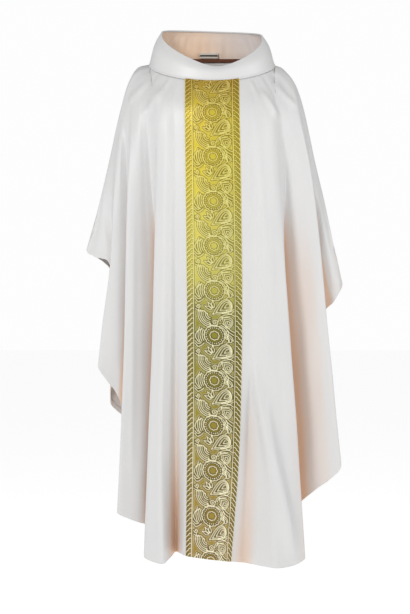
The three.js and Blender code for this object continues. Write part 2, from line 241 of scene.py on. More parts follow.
def ply(name, outer, thickness, finish, spread, ring=False, extras=None):
    """A closed ply of cloth: its outer face, its inner face, and the edges between them."""
    rows, columns = outer.shape[:2]
    count = rows * columns
    inner = outer - normals_of(outer, ring) * thickness
    faces = [quads(rows, columns, ring), quads(rows, columns, ring, count, True)]
    at = np.arange(count).reshape(rows, columns)
    if ring:
        at = np.concatenate([at, at[:, :1]], axis=1)
        edges = [at[0, ::-1], at[-1]]
    else:
        edges = [at[0, ::-1], at[-1], at[:, 0], at[::-1, -1]]
    for edge in edges:
        faces.append(np.stack([edge[:-1], edge[:-1] + count, edge[1:] + count, edge[1:]], axis=-1))
    points = np.concatenate([outer.reshape(-1, 3), inner.reshape(-1, 3)])
    both = {key: np.concatenate([v.ravel(), v.ravel()]) for key, v in (extras or {}).items()}
    spread = np.concatenate([spread.reshape(-1, 2)] * 2)
    return make_piece(name, points, np.concatenate(faces), finish, spread, both)


def linear(colour):
    """An sRGB hex colour as linear red, green, blue and alpha."""
    shares = [int(colour[i:i + 2], 16) / 255 for i in (1, 3, 5)]
    return [s / 12.92 if s <= 0.04045 else ((s + 0.055) / 1.055) ** 2.4 for s in shares] + [1.0]


def add(tree, kind, settings=None, links=None):
    """Adds a node. settings are its properties; links are its sockets' values or other nodes' outputs."""
    made = tree.nodes.new("ShaderNode" + kind)
    for key, value in (settings or {}).items():
        setattr(made, key, value)
    for key, value in (links or {}).items():
        if isinstance(value, bpy.types.NodeSocket):
            tree.links.new(value, made.inputs[key])
        else:
            made.inputs[key].default_value = value
    return made


def new_finish(name, settings):
    """A material with its main shader, on whose sockets the settings go. Returns both, and the tree."""
    made = bpy.data.materials.new(name)
    made.use_nodes = True
    tree = made.node_tree
    tree.nodes.clear()
    shader = add(tree, "BsdfPrincipled", links=settings)
    add(tree, "OutputMaterial", links={"Surface": shader.outputs[0]})
    return made, tree, shader


def threads(tree, spacing, depth, shader, places=None):
    """Bumps a plain weave into a shader: two sets of threads, at a spacing in metres."""
    places = places or add(tree, "UVMap", {"uv_map": "cloth"}).outputs[0]
    heights = []
    for direction in ("X", "Y"):
        settings = {"wave_type": "BANDS", "bands_direction": direction, "wave_profile": "SIN"}
        turns = {"Vector": places, "Scale": math.pi / (10 * spacing), "Distortion": 0.4, "Detail": 1.0}
        heights.append(add(tree, "TexWave", settings, turns).outputs["Fac"])
    weave = add(tree, "Math", {"operation": "MULTIPLY"}, {0: heights[0], 1: heights[1]})
    links = {"Height": weave.outputs[0], "Distance": depth, "Strength": 0.35}
    bump = add(tree, "Bump", links=links)
    tree.links.new(bump.outputs[0], shader.inputs["Normal"])
    return bump


def ivory_polyester():
    """Plain-woven polyester with a satin face: matt and almost white, with a wide soft sheen along the
    flutes. Deep in the folds its colour is painted a warm peach: painted shade, standing in for light that is
    caught in a fold, passes through the cloth and comes back warm."""
    settings = {"Roughness": 0.41, "Specular IOR Level": 0.5, "Sheen Weight": 0.08, "Sheen Roughness": 0.4}
    made, tree, shader = new_finish("ivory_polyester_plain_weave", settings)
    depth = add(tree, "Attribute", {"attribute_name": "painted_fold_shade"})
    places = add(tree, "UVMap", {"uv_map": "cloth"}).outputs[0]
    clouds = add(tree, "TexNoise", links={"Scale": 7.0, "Detail": 2.0, "Vector": places})
    plain = add(tree, "Mix", {"data_type": "RGBA"}, {
        0: clouds.outputs["Fac"], 6: linear("#DFDEDD"), 7: linear("#D9D9D9")})
    # Painted shade: deep in the folds the ivory is painted warm peach.
    painted_fold_colour = add(tree, "Mix", {"data_type": "RGBA"}, {
        0: depth.outputs["Fac"], 6: plain.outputs[2], 7: linear("#DFBFA6")})
    tree.links.new(painted_fold_colour.outputs[2], shader.inputs["Base Color"])
    # The real threads lie 0.3 mm apart, too fine to show, so they are drawn 1.5 mm apart.
    threads(tree, 1.5 * mm, 0.15 * mm, shader)
    return made


def smooth(low, high, values):
    """A soft step from 0, where values are at low, to 1, where they are at high."""
    share = np.clip((values - low) / (high - low), 0, 1)
    return share * share * (3 - 2 * share)


def evened(values, times, axis=1):
    """Values averaged with their neighbours, a number of times."""
    for _ in range(times):
        ends = np.take(values, [0], axis), np.take(values, [-1], axis)
        wide = np.concatenate([ends[0], values, ends[1]], axis)
        count = values.shape[axis]
        near = [np.take(wide, range(k, k + count), axis) for k in range(3)]
        values = near[0] / 4 + near[1] / 2 + near[2] / 4
    return values


def painted_fold_shade(grid, facing):
    """How deep each point lies in a fold, from 0 to 1, measured from a bridge over the crests beside it, with
    more beside a crest on the wearer's right: the mask of the warm shade painted into the folds.
    """
    reach = 75 * mm
    shallow, deep = 15 * mm, 62 * mm
    one_sided = 0.55  # how much a crest on the wearer's right alone counts, painting shade on the cloth beside it; the light comes from there
    tallest = 55 * mm
    chest, hips = 0.15, 0.6  # this painted shade beside one crest sets in between these depths below the neck, in metres
    depth = np.empty(grid.shape[:2])
    for row, line in zip(depth, grid):
        x, y = line[:, 0], line[:, 1] * facing
        apart = x[None, :] - x[:, None]
        left = np.where((apart <= 0) & (apart > -reach), y[None, :], -1).max(axis=1)
        right = np.where((apart >= 0) & (apart < reach), y[None, :], -1).max(axis=1)
        painted_one_sided_shade = np.clip((left - right) * -facing, 0, tallest) * smooth(chest, hips, -line[:, 2])
        row[:] = np.minimum(left, right) - y + one_sided * painted_one_sided_shade
    depth = evened(evened(depth, 12), 3, axis=0)
    return smooth(shallow, deep, depth)


# Swells of the front panel: where each starts and ends, across and up, how far it stands out, half its width.
front_swells = (
    ((0.098, -0.76), (0.204, -1.27), 17 * mm, 17 * mm),
    ((0.115, -0.16), (0.150, -0.62), 4 * mm, 15 * mm),
    ((-0.105, -0.14), (-0.112, -0.60), 3 * mm, 13 * mm),
    ((-0.200, -0.40), (-0.205, -1.05), 3 * mm, 9 * mm),
    ((0.125, -0.085), (0.165, -0.150), 5 * mm, 8 * mm),
    ((0.150, -0.060), (0.215, -0.120), 4 * mm, 9 * mm),
    ((-0.130, -0.080), (-0.175, -0.150), 4 * mm, 9 * mm),
    ((-0.160, -0.055), (-0.215, -0.110), 3 * mm, 8 * mm),
)
gathers_depth = 1.6 * mm
gathers_fade = 70 * mm
slack_depth = 0.8 * mm  # of the faint unevenness all over the cloth
held_edge = 30 * mm  # below the seams the cloth doesn't move freely
crispness = 1.0  # how much the folds are sharpened


def shaped(grid, facing, band, swells):
    """The hanging cloth with crisper folds, gathers below the collar and swells, clear of the orphrey."""
    over = lengths(grid, 1)
    middle = over[:, [sum(band) // 2]]
    half = (over[:, [band[1]]] - over[:, [band[0]]]) / 2
    clear = smooth(4 * mm, 45 * mm, np.abs(over - middle) - half)
    held = smooth(0, 60 * mm, lengths(grid, 0))
    sharper = grid - evened(grid, 22)
    grid = grid + sharper * (crispness * clear * held)[..., None]
    out = normals_of(grid)
    x, y, z = grid[..., 0], grid[..., 1], grid[..., 2]
    angle = np.arctan2(x, facing * y)
    fallen = lengths(grid, 0)
    gathers = np.sin(34 * angle) + 0.6 * np.sin(57 * angle + 1.3)
    move = gathers_depth * gathers * np.exp(-fallen / gathers_fade) * smooth(0, 12 * mm, fallen)
    move += slack_depth * np.sin(x * 95 + 3 * np.sin(z * 4)) * np.sin(z * 6 + x * 9)
    for start, end, height_of, half_width in swells:
        line = np.array(end) - np.array(start)
        whole = np.linalg.norm(line)
        share = ((x - start[0]) * line[0] + (z - start[1]) * line[1]) / whole ** 2
        aside = ((x - start[0]) * line[1] - (z - start[1]) * line[0]) / whole
        ends = smooth(-0.12, 0.3, share) * smooth(1.12, 0.8, share)
        facing_out = smooth(0.1, 0.6, out[..., 1] * facing)
        move += height_of * np.exp(-(aside / half_width) ** 2) * ends * facing_out
    return grid + out * (move * clear * smooth(0, held_edge, fallen))[..., None]


def hung_grid(skin, across):
    """The panel's cloth with even rows down to its hem, and close rows within the hem."""
    last = skin.shape[0] - 1
    length = lengths(skin, 0).max()
    even = np.linspace(0, 1, int(length / row_step) * 2 + 1)
    fine = surface(skin, last * even ** (1 / row_spread), across)
    along = lengths(fine, 0)
    rows = np.linspace(0, 1, int(length / row_step) + 1)
    grid = np.empty((len(rows) + len(hem_rows), fine.shape[1], 3))
    for column in range(fine.shape[1]):
        whole = along[-1, column]
        turned = min(hem_width, 0.5 * whole)
        places = np.concatenate([rows * (whole - turned), whole - turned + np.array(hem_rows) * turned])
        for axis in range(3):
            grid[:, column, axis] = np.interp(places, along[:, column], fine[:, column, axis])
    return grid


ivory = ivory_polyester()
panels = {}
for side, facing in (("front", -1), ("back", 1)):
    skin = cad_skin(f"{side}_panel")
    widths = np.linalg.norm(np.diff(skin, axis=1), axis=2).max(axis=0)
    cells = np.maximum(np.ceil(widths / column_step).astype(int), 1)
    across = np.concatenate([np.linspace(i, i + 1, n, endpoint=False) for i, n in enumerate(cells)])
    across = np.append(across, skin.shape[1] - 1)
    grid = hung_grid(skin, across)
    strip = cad_skin(f"{side}_orphrey")
    half_way = len(skin) // 2
    edges = [np.linalg.norm(skin[half_way] - strip[half_way, end], axis=1).argmin() for end in (0, -1)]
    band = [int(np.abs(across - edge).argmin()) for edge in edges]
    grid = shaped(grid, facing, band, front_swells if side == "front" else ())
    # Past the neck the two panels' top edges meet in the shoulder seams; the frame keeps them a little apart.
    on_seam = np.abs(grid[0, :, 0]) > neck_half_width - 1 * mm
    grid[0, on_seam, 1] -= facing * (seam_gap / 2 + seam_overlap)
    # The mask of the shade painted into the folds.
    depth = painted_fold_shade(grid, facing)
    in_hem = np.zeros(grid.shape[0])
    in_hem[-len(hem_rows):] = 1
    thickness = cloth_thickness * (1 + (hem_plies - 1) * in_hem)
    along = lengths(grid, 0)
    wide = lengths(grid, 1).mean(axis=0)
    spread = np.stack([np.broadcast_to(wide, along.shape), -along], axis=-1)
    panels[side] = {"skin": skin, "grid": grid, "edges": edges, "strip": strip}
    piece = ply(f"{side}_panel_cloth", grid, thickness[:, None, None], ivory, spread,
                extras={"painted_fold_shade": depth})
    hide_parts(f"{side}_panel")


# ---- Shoulder tapes ----
# A 9 mm cotton twill tape lies under each shoulder seam and is caught in its stitches. It carries the
# garment's weight, so that the seam doesn't stretch over the arms.
def cotton_tape(name, pale, dark):
    """Cotton twill in the two given colours: matt, with a fine diagonal rib. Bleached for the shoulder tapes;
    dark brown for the neck binding, as painted shade.
    """
    made, tree, shader = new_finish(name, {"Roughness": 0.85, "Specular IOR Level": 0.2})
    places = add(tree, "TexCoord").outputs["Object"]
    ribs = add(tree, "TexWave", {"bands_direction": "DIAGONAL"}, {
        "Vector": places, "Scale": math.pi / (10 * 1.4 * mm), "Distortion": 0.5})
    shade = add(tree, "Mix", {"data_type": "RGBA"}, {
        0: ribs.outputs["Fac"], 6: linear(pale), 7: linear(dark)})
    tree.links.new(shade.outputs[2], shader.inputs["Base Color"])
    bump = add(tree, "Bump", links={"Height": ribs.outputs["Fac"], "Distance": 0.2 * mm, "Strength": 0.4})
    tree.links.new(bump.outputs[0], shader.inputs["Normal"])
    return made


def refinish(node, finish):
    """A node of the frame keeps its shape and gets a finish."""
    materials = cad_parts[node].data.materials
    materials.clear()
    materials.append(finish)


tape = cotton_tape("bleached_cotton_twill_tape", "#E2D8C8", "#D2C6B4")
for hand in ("left", "right"):
    refinish(f"shoulder_tape_{hand}", tape)


# ---- Orphreys ----
# An orphrey is a band of gold brocade, 138 mm wide, down the middle of the front and of the back. It is a
# jacquard weave of lurex and rayon: rosettes, paisleys and shell fans outlined in pale thread on an old-gold
# ground, between two rope borders. Its edges are turned under over a stiff backing, and it is topstitched.
orphrey_width = 138 * mm
orphrey_lift = 2.3 * mm  # the brocade's face above the panel's
backing_lift = 1.3 * mm
backing_thickness = 0.6 * mm
backing_inset = 5 * mm
brocade_step = 1.5 * mm
turned_edge = 2.5 * mm
repeat = 112 * mm  # the pattern's repeat down the cloth
first_rosette = 92 * mm
outline = 1.05 * mm  # half the width of the pale outlines
tile_step = 0.5  # mm between the places at which one repeat is worked out
relief = 0.4 * mm


def ring(radius, turn=0, lobes=0, wave=0, arc=(0, 360)):
    """Points of a circle or arc about the rosette's centre, in mm; degrees run from the right, downwards."""
    angle = np.radians(np.linspace(*arc, 160))
    r = radius + wave * np.abs(np.cos(lobes * angle / 2 + turn))
    return np.stack([r * np.cos(angle), r * np.sin(angle)], axis=1)


def curl(turns, inner, outer, start):
    """A spiral that opens clockwise from its inner end."""
    share = np.linspace(0, 1, 140)
    angle = math.radians(start) + 2 * math.pi * turns * share
    r = inner + (outer - inner) * share
    return np.stack([r * np.cos(angle), r * np.sin(angle)], axis=1)


def drop(length, width, lean, bend=0.0):
    """A teardrop with its round end at the origin; its tip lies at length, turned by lean degrees."""
    angle = np.linspace(0, 2 * np.pi, 120)
    x = length * (1 + np.cos(angle)) / 2
    y = width * np.sin(angle) * np.sin(angle / 2) ** 1.5 * 0.72 + bend * (x / length) ** 2 * length
    c, s = math.cos(math.radians(lean)), math.sin(math.radians(lean))
    return np.stack([x * c - y * s, x * s + y * c], axis=1)


def sweep(*points):
    """A smooth line through a few points."""
    flat = np.array([(*p, 0.0) for p in points])
    return through(flat, np.linspace(0, len(flat) - 1, 100))[:, :2]


def brocade_tile():
    """One repeat of the pattern, about the rosette's centre: the outlines, and the long satin floats. Rows
    run down the cloth and columns across it."""
    lines, floats, ropes = [], [], []

    def draw(points, at=(0, 0), filled=False):
        placed = points + np.array(at)
        lines.append(placed)
        if filled:
            floats.append(placed)

    for bead in np.radians(np.arange(0, 360, 15)):
        draw(ring(0.5), (19.5 * math.cos(bead), 19.5 * math.sin(bead)))
    draw(ring(23.5, lobes=16, wave=2.0))
    draw(ring(10.0, lobes=8, wave=1.5))
    draw(curl(1.8, 0.6, 8.5, 200), (1, -33))
    draw(sweep((8, -30), (4, -24), (-6, -25), (-14, -31)))
    draw(sweep((9, -35), (12, -44), (22, -51), (40, -54), (48, -50)))
    draw(sweep((13, -36), (16, -42), (25, -47), (38, -49)))
    for radius in (7, 11.5, 21, 25.5, 30):
        draw(ring(radius, arc=(88, 205)), (-10, -51))
    for angle in np.radians(np.arange(96, 204, 13)):
        draw(ring(0.4), (-10 + 16.5 * math.cos(angle), -51 + 16.5 * math.sin(angle)))
    for radius in (25, 30, 35, 40):
        draw(ring(radius, arc=(150, 207)))
    draw(sweep((-30, -14), (-42, -6), (-46, 8), (-38, 20)))
    for size in (1.0, 0.8, 0.55, 0.28):
        draw(drop(54 * size, 32 * size, 158, -0.16), (42 - 7 * (1 - size), 31 + 5 * (1 - size)), size == 0.8)
    for size in (1.0, 0.66, 0.3):
        draw(drop(31 * size, 25 * size, 205, 0.2), (43 - 8 * (1 - size), -28 - 4 * (1 - size)), size == 0.66)
    for lean in (195, 228, 261):
        along_leaf = np.array((math.cos(math.radians(lean)), math.sin(math.radians(lean))))
        draw(drop(18, 7, lean, 0.08), (-2, 47) + 5 * along_leaf, True)
    draw(sweep((12, -24), (22, -18), (30, -6), (42, 2), (46, 12)))
    draw(sweep((15, -27), (26, -20), (35, -10), (47, -2)))
    draw(sweep((19, -31), (31, -22), (40, -14), (48, -10)))
    draw(sweep((25, -6), (33, 3), (36, 12), (28, 19)))
    draw(drop(18, 8, 235, 0.15), (41, 15), True)
    draw(drop(14, 7, 265, 0.15), (31, -1), True)
    draw(curl(1.4, 0.6, 6.0, 30), (-39, 41))
    draw(curl(1.2, 0.6, 4.5, 150), (30, 4))
    draw(sweep((-46, 50), (-36, 54), (-26, 52), (-17, 60)))
    draw(sweep((-47, 24), (-40, 31), (-31, 27), (-25, 21)))
    draw(sweep((-47, 18), (-40, 24), (-32, 21)))
    draw(sweep((47, 50), (38, 57), (28, 53), (18, 55)))
    draw(sweep((47, 45), (39, 51), (28, 48)))
    pitch = repeat / mm / 9
    for hand in (-1, 1):
        for line in (50.5, 68):
            draw(sweep((hand * line, -56), (hand * line, 0), (hand * line, 56)))
        for leaf in range(9):
            level = (leaf - 4) * pitch
            ropes.append(drop(17, 8.5, 90 + hand * 38, 0.14) + np.array((hand * 65.5, level - 6)))
            draw(sweep((hand * 53, level - 1), (hand * 57, level + 1), (hand * 60, level + 6)))
            draw(sweep((hand * 61, level - 6), (hand * 65, level - 3), (hand * 67, level + 2)))
    tall, wide = repeat / mm, orphrey_width / mm
    rows, columns = int(tall / tile_step), int(wide / tile_step)
    down, across = np.meshgrid((np.arange(rows) + 0.5) * tile_step - tall / 2,
                               (np.arange(columns) + 0.5) * tile_step - wide / 2, indexing="ij")
    places = np.stack([across.ravel(), down.ravel()], axis=1)
    dense = []
    for line in lines:
        steps = np.linalg.norm(np.diff(line, axis=0), axis=1)
        whole = np.concatenate([[0], np.cumsum(steps)])
        at = np.linspace(0, whole[-1], max(int(whole[-1] / tile_step), 4))
        dense.append(np.stack([np.interp(at, whole, line[:, 0]), np.interp(at, whole, line[:, 1])], axis=1))
    dense = np.concatenate(dense)
    dense = np.concatenate([dense, dense + (0, tall), dense - (0, tall)])
    tree = KDTree(len(dense))
    for index, (x, y) in enumerate(dense):
        tree.insert((x, y, 0), index)
    tree.balance()
    nearest = np.array([tree.find((x, y, 0))[2] for x, y in places])
    nearest = nearest / (outline / mm)
    drawn = 1 - smooth(0.55, 1.0, nearest)
    # A fainter line follows each outline, about 4 mm away, and fills the ground between the figures.
    clear_of_rosette = (np.abs(places[:, 0]) < 49) & (np.hypot(*places.T) > 24)
    echo = smooth(3.2, 3.6, nearest) * smooth(4.4, 4.0, nearest) * clear_of_rosette
    drawn = np.maximum(drawn, 0.45 * echo)
    satin = np.zeros(len(places))
    for shape, strength in [(shape, 0.7) for shape in floats] + [(shape, 0.45) for shape in ropes]:
        for shift in (-tall, 0, tall):
            x, y = shape[:, 0], shape[:, 1] + shift
            inside = np.zeros(len(places), bool)
            for x1, y1, x2, y2 in zip(x, y, np.roll(x, -1), np.roll(y, -1)):
                if y1 == y2:
                    continue
                crossed = ((y1 > places[:, 1]) != (y2 > places[:, 1]))
                inside ^= crossed & (places[:, 0] < (x2 - x1) * (places[:, 1] - y1) / (y2 - y1) + x1)
            satin[inside] = strength
    satin = np.maximum(satin, smooth(0.8, 1.2, nearest) * smooth(3.4, 2.4, nearest))
    return drawn.reshape(rows, columns), satin.reshape(rows, columns)


def from_tile(tile, across, down):
    """A tile's values at places on the band, in metres; down is measured from a rosette's centre."""
    row = (down / mm + repeat / mm / 2) / tile_step - 0.5
    column = np.clip((across / mm + orphrey_width / mm / 2) / tile_step - 0.5, 0, tile.shape[1] - 1.001)
    r, c = np.floor(row).astype(int), np.floor(column).astype(int)
    y, x = row - r, column - c
    above = tile[r % tile.shape[0], c] * (1 - x) + tile[r % tile.shape[0], c + 1] * x
    below = tile[(r + 1) % tile.shape[0], c] * (1 - x) + tile[(r + 1) % tile.shape[0], c + 1] * x
    return above * (1 - y) + below * y


def gold_brocade():
    """Jacquard brocade of lurex and rayon: old gold that gleams like metal where its long floats face the
    light, with pale, more matt outlines. The ground is a fine twill."""
    made, tree, shader = new_finish("lurex_jacquard_brocade", {"Sheen Weight": 0.1})
    figure = add(tree, "Attribute", {"attribute_name": "figure"}).outputs["Fac"]
    satin = add(tree, "Attribute", {"attribute_name": "satin"}).outputs["Fac"]
    places = add(tree, "UVMap", {"uv_map": "cloth"}).outputs[0]
    # The real twill is 0.5 mm wide, and is drawn 2 mm wide so that it shows.
    twill = add(tree, "TexWave", {"bands_direction": "DIAGONAL"}, {
        "Vector": places, "Scale": math.pi / (10 * 2 * mm), "Distortion": 1.0, "Detail": 1.0})
    # Noise that makes the painted gleam's change down the band uneven.
    painted_gleam_noise = add(tree, "TexNoise", links={"Vector": places, "Scale": 5.0, "Detail": 3.0})
    # The band is painted orange gold at the neck, brighter greenish yellow over the chest and duller, older
    # gold below the waist: painted gleam and shade, for how the light falls down the lurex.
    height_on_cloth = add(tree, "SeparateXYZ", links={0: places}).outputs["Y"]
    fallen = add(tree, "MapRange", links={"Value": height_on_cloth, "From Min": 0, "From Max": -1.23})
    hazy = add(tree, "Math", {"operation": "MULTIPLY_ADD"}, {0: painted_gleam_noise.outputs["Fac"], 1: 0.3, 2: -0.15})
    share = add(tree, "Math", {"operation": "ADD", "use_clamp": True}, {
        0: fallen.outputs[0], 1: hazy.outputs[0]})

    def painted_gleam_ramp(*stops):
        ramp = add(tree, "ValToRGB", links={"Fac": share.outputs[0]})
        for place, colour in stops[1:-1]:
            ramp.color_ramp.elements.new(place)
        for element, (place, colour) in zip(ramp.color_ramp.elements, stops):
            element.position = place
            element.color = linear(colour)
        return ramp.outputs[0]

    ground = painted_gleam_ramp(
        (0, "#D4AC36"), (0.14, "#F0DA46"), (0.36, "#EBE16C"), (0.52, "#A39C3C"), (1, "#B2923E"))
    shade = painted_gleam_ramp(
        (0, "#8A6A18"), (0.18, "#93801E"), (0.36, "#8E8232"), (0.52, "#4F4618"), (1, "#58461A"))
    pale = painted_gleam_ramp(
        (0, "#DCC46A"), (0.18, "#E2DA80"), (0.36, "#DFDA98"), (0.52, "#F2EDC6"), (1, "#FBF5D6"))
    woven = add(tree, "Mix", {"data_type": "RGBA", "blend_type": "MULTIPLY"}, {
        0: 0.25, 6: ground, 7: twill.outputs["Color"]})
    float_colour = add(tree, "Mix", {"data_type": "RGBA"}, {0: satin, 6: woven.outputs[2], 7: shade})
    colour = add(tree, "Mix", {"data_type": "RGBA"}, {0: figure, 6: float_colour.outputs[2], 7: pale})
    metal = add(tree, "MapRange", links={"Value": figure, "To Min": 0.55, "To Max": 0.2})
    gloss = add(tree, "MapRange", links={"Value": figure, "To Min": 0.36, "To Max": 0.5})
    tree.links.new(colour.outputs[2], shader.inputs["Base Color"])
    tree.links.new(metal.outputs[0], shader.inputs["Metallic"])
    tree.links.new(gloss.outputs[0], shader.inputs["Roughness"])
    bump = add(tree, "Bump", links={"Height": twill.outputs["Fac"], "Distance": 0.25 * mm, "Strength": 0.4})
    tree.links.new(bump.outputs[0], shader.inputs["Normal"])
    return made


def interlining():
    """Stiff bonded interlining: off-white felted fibres without gloss."""
    settings = {"Roughness": 0.95, "Specular IOR Level": 0.1}
    made, tree, shader = new_finish("bonded_fibre_interlining", settings)
    places = add(tree, "TexCoord").outputs["Object"]
    fibres = add(tree, "TexNoise", links={"Scale": 900.0, "Detail": 4.0, "Vector": places})
    shade = add(tree, "Mix", {"data_type": "RGBA"}, {
        0: fibres.outputs["Fac"], 6: linear("#DEDAD2"), 7: linear("#F0EDE6")})
    tree.links.new(shade.outputs[2], shader.inputs["Base Color"])
    bump = add(tree, "Bump", links={"Height": fibres.outputs["Fac"], "Distance": 0.15 * mm, "Strength": 0.4})
    tree.links.new(bump.outputs[0], shader.inputs["Normal"])
    return made


brocade = gold_brocade()
stiffening = interlining()
outlines, floats = brocade_tile()
bands = {}
for side, panel in panels.items():
    skin = panel["skin"]
    fine = np.linspace(*panel["edges"], int(orphrey_width / brocade_step) + 1)
    length = lengths(panel["strip"], 0).max()
    down = (len(skin) - 1) * np.linspace(0, 1, int(length / brocade_step) + 1) ** (1 / row_spread)
    face = surface(skin, down, fine)
    out = normals_of(face)
    along = lengths(face, 0)
    over = lengths(face, 1)
    sideways = (over / over[:, -1:] - 0.5) * orphrey_width
    fallen = along[:, len(fine) // 2][:, None] - first_rosette
    fallen = np.broadcast_to(fallen, sideways.shape)
    figure = from_tile(outlines, sideways, fallen)
    satin = from_tile(floats, sideways, fallen) * (1 - figure)
    edge = smooth(0, turned_edge, orphrey_width / 2 - np.abs(sideways))
    lift = 0.1 * mm + orphrey_lift * np.sqrt(edge) + relief * (figure + 0.5 * satin) * edge
    raised = face + out * lift[..., None]
    spread = np.stack([sideways, -along], axis=-1)
    faces = quads(*raised.shape[:2])
    extras = {"figure": figure, "satin": satin}
    piece = make_piece(f"{side}_orphrey_brocade", raised.reshape(-1, 3), faces, brocade,
                       spread.reshape(-1, 2), extras)
    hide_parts(f"{side}_orphrey")
    bands[side] = raised
    keep = np.abs(sideways[0]) < orphrey_width / 2 - backing_inset
    under = (face + out * backing_lift)[2:-4:5][:, keep][:, ::4]
    flat = np.zeros((*under.shape[:2], 2))
    piece = ply(f"{side}_orphrey_stiffening", under, backing_thickness, stiffening, flat)
    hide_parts(f"{side}_orphrey_backing")


# ---- Collar ----
# The collar is a standing band, cut on the bias and folded over at its rim, so it stands in a soft roll. A
# bonded interfacing gives it its stand, and a satin facing lines it, whose peach is partly its own colour and
# partly painted warm shade inside the neck. It is sewn over the neckline, and its lower edge lies over the
# panels and the orphreys.
collar_columns = 8  # to each of the frame's cells
collar_bulge = 5 * mm
rim_radius = 1.9 * mm
rim_turn = 2 * mm  # how far the outer ply comes down inside
stand_thickness = 0.8 * mm
lower_edge = ((1.5 * mm, 0.4 * mm), (3.5 * mm, 0.8 * mm), (4.5 * mm, 0.2 * mm))  # past the seam, and off it
lining_gap = 2.2 * mm  # between the outer ply and the facing, at the rim
lining_slack = 2.4 * mm

collar = cad_skin("collar_outer")
cells = collar.shape[1]
round_collar = np.arange(cells * collar_columns) / collar_columns


def collar_face(rows):
    """The collar's outer face, at shares of its height from the rim down."""
    return surface(collar, np.asarray(rows) * (len(collar) - 1), round_collar, ring=True)


def bulged(rows):
    """The collar's face as it rolls outwards, and its normals."""
    shares = np.asarray(rows, float)
    face = collar_face(shares)
    out = normals_of(face, ring=True)
    return face + out * (collar_bulge * np.sin(np.pi * shares ** 0.8) ** 1.5)[:, None, None], out


def peach_facing():
    """Light polyester satin, woven finely, with a soft, warm gleam inside the neck. Its peach is partly its
    own colour and partly painted warm shade.
    """
    settings = {"Roughness": 0.55, "Specular IOR Level": 0.3, "Sheen Weight": 0.15, "Sheen Roughness": 0.4}
    made, tree, shader = new_finish("peach_polyester_satin", settings)
    places = add(tree, "UVMap", {"uv_map": "cloth"}).outputs[0]
    clouds = add(tree, "TexNoise", links={"Scale": 14.0, "Detail": 2.0, "Vector": places})
    peach = add(tree, "Mix", {"data_type": "RGBA"}, {
        0: clouds.outputs["Fac"], 6: linear("#FFD6AE"), 7: linear("#FBDFC6")})
    # Painted light: the facing is painted paler and greyer towards the wearer's left and towards the rim,
    # where the light falls into the neck; the peach left elsewhere is partly painted shade.
    where = add(tree, "SeparateXYZ", links={0: add(tree, "TexCoord").outputs["Object"]})
    leftward = add(tree, "MapRange", links={"Value": where.outputs["X"], "From Min": -0.03, "From Max": 0.12})
    upward = add(tree, "MapRange", links={"Value": where.outputs["Z"], "From Min": 0.02, "From Max": 0.10})
    painted_light_in_neck = add(tree, "Math", {"operation": "MULTIPLY_ADD", "use_clamp": True}, {
        0: upward.outputs[0], 1: 0.35, 2: leftward.outputs[0]})
    shade = add(tree, "Mix", {"data_type": "RGBA"}, {
        0: painted_light_in_neck.outputs[0], 6: peach.outputs[2], 7: linear("#ECE2DD")})
    tree.links.new(shade.outputs[2], shader.inputs["Base Color"])
    threads(tree, 1.2 * mm, 0.12 * mm, shader)
    return made


facing_satin = peach_facing()
rows = np.linspace(0, 1, 26)
outside, out = bulged(rows)
down_collar = lengths(outside, 0)
turns = lengths(outside, 1)[0]
rise = outside[0] - outside[1]
rise /= np.linalg.norm(rise, axis=1, keepdims=True)
inner, inner_out = bulged(np.linspace(0, rim_turn / down_collar[-1].mean(), 6))
roll = list((inner - inner_out * 2 * rim_radius)[::-1])
for angle in np.linspace(math.pi, 0, 9)[1:-1]:
    outwards, upwards = math.cos(angle) - 1, math.sin(angle)
    roll.append(outside[0] + out[0] * rim_radius * outwards + rise * rim_radius * upwards)
fall = outside[-1] - outside[-2]
fall /= np.linalg.norm(fall, axis=1, keepdims=True)
lower = [outside[-1] + fall * past + out[-1] * off for past, off in lower_edge]
profile = np.concatenate([np.array(roll), outside, np.array(lower)])
along = lengths(profile, 0)
spread = np.stack([np.broadcast_to(turns, along.shape), -along], axis=-1)
depth = np.zeros(profile.shape[:2])
piece = ply("collar_cloth", profile, cloth_thickness, ivory, spread, ring=True, extras={"painted_fold_shade": depth})
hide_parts("collar_outer")

stand, stand_out = bulged(np.linspace(0.04, 0.97, 14))
stand = stand - stand_out * 1.2 * mm
flat = np.zeros((*stand.shape[:2], 2))
piece = ply("collar_stand", stand, stand_thickness, stiffening, flat, ring=True)
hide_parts("collar_interfacing")

shares = np.linspace(0.03, 1, 30)
lining, lining_out = bulged(shares)
angles = round_collar / cells * 2 * math.pi
puckers = (0.9 * np.sin(17 * angles + 0.6) + 0.6 * np.sin(29 * angles + 2.1) + 0.5 * np.sin(43 * angles)) * mm
fade = smooth(0.08, 0.4, shares) * smooth(1.02, 0.7, shares)
lining = lining - lining_out * (lining_gap + fade[:, None, None] * (lining_slack + puckers[None, :, None]))
lining = lining[::-1]
along = lengths(lining, 0)
spread = np.stack([np.broadcast_to(turns, along.shape), along], axis=-1)
piece = ply("collar_lining", lining, cloth_thickness, facing_satin, spread, ring=True)
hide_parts("collar_facing")


